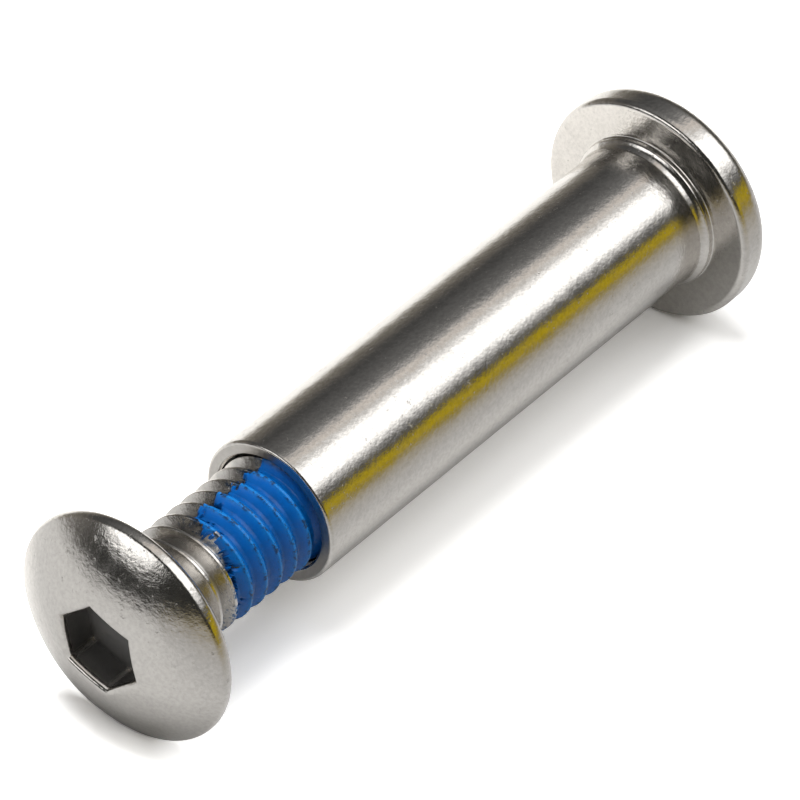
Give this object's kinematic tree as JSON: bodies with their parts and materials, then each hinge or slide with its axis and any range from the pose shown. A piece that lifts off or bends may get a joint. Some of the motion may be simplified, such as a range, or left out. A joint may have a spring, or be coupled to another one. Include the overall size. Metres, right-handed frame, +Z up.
{
  "type": "shoulder bolt",
  "caption": "Two-piece shoulder bolt: domed-head barrel with a smooth shoulder, and a hex-socket button-head screw with a blue thread-locking patch, part way out of its tapped end.",
  "frame": {"origin": "on the bolt's axis at the middle of the shoulder, 4 mm above the surface that the heads lie on", "axes": "+X along the bolt from the barrel's head to the screw's head, +Z up with the bolt lying on the rims of its two heads"},
  "size_m": [0.0292, 0.008, 0.008],
  "materials": {
    "barrel_steel": "bright nickel plate, lightly worn",
    "screw_steel": "bright nickel plate, lightly worn",
    "patch_resin": "glossy cured resin"
  },
  "bodies": {
    "barrel": {"shoulder_barrel": "barrel_steel"},
    "screw": {"cap_screw": "screw_steel", "thread_lock_patch": "patch_resin"}
  },
  "joints": [
    {"name": "screw_travel", "type": "slide", "parent": "barrel", "child": "screw", "axis": [1, 0, 0], "range_m": [-0.0064, 0.0062]}
  ]
}
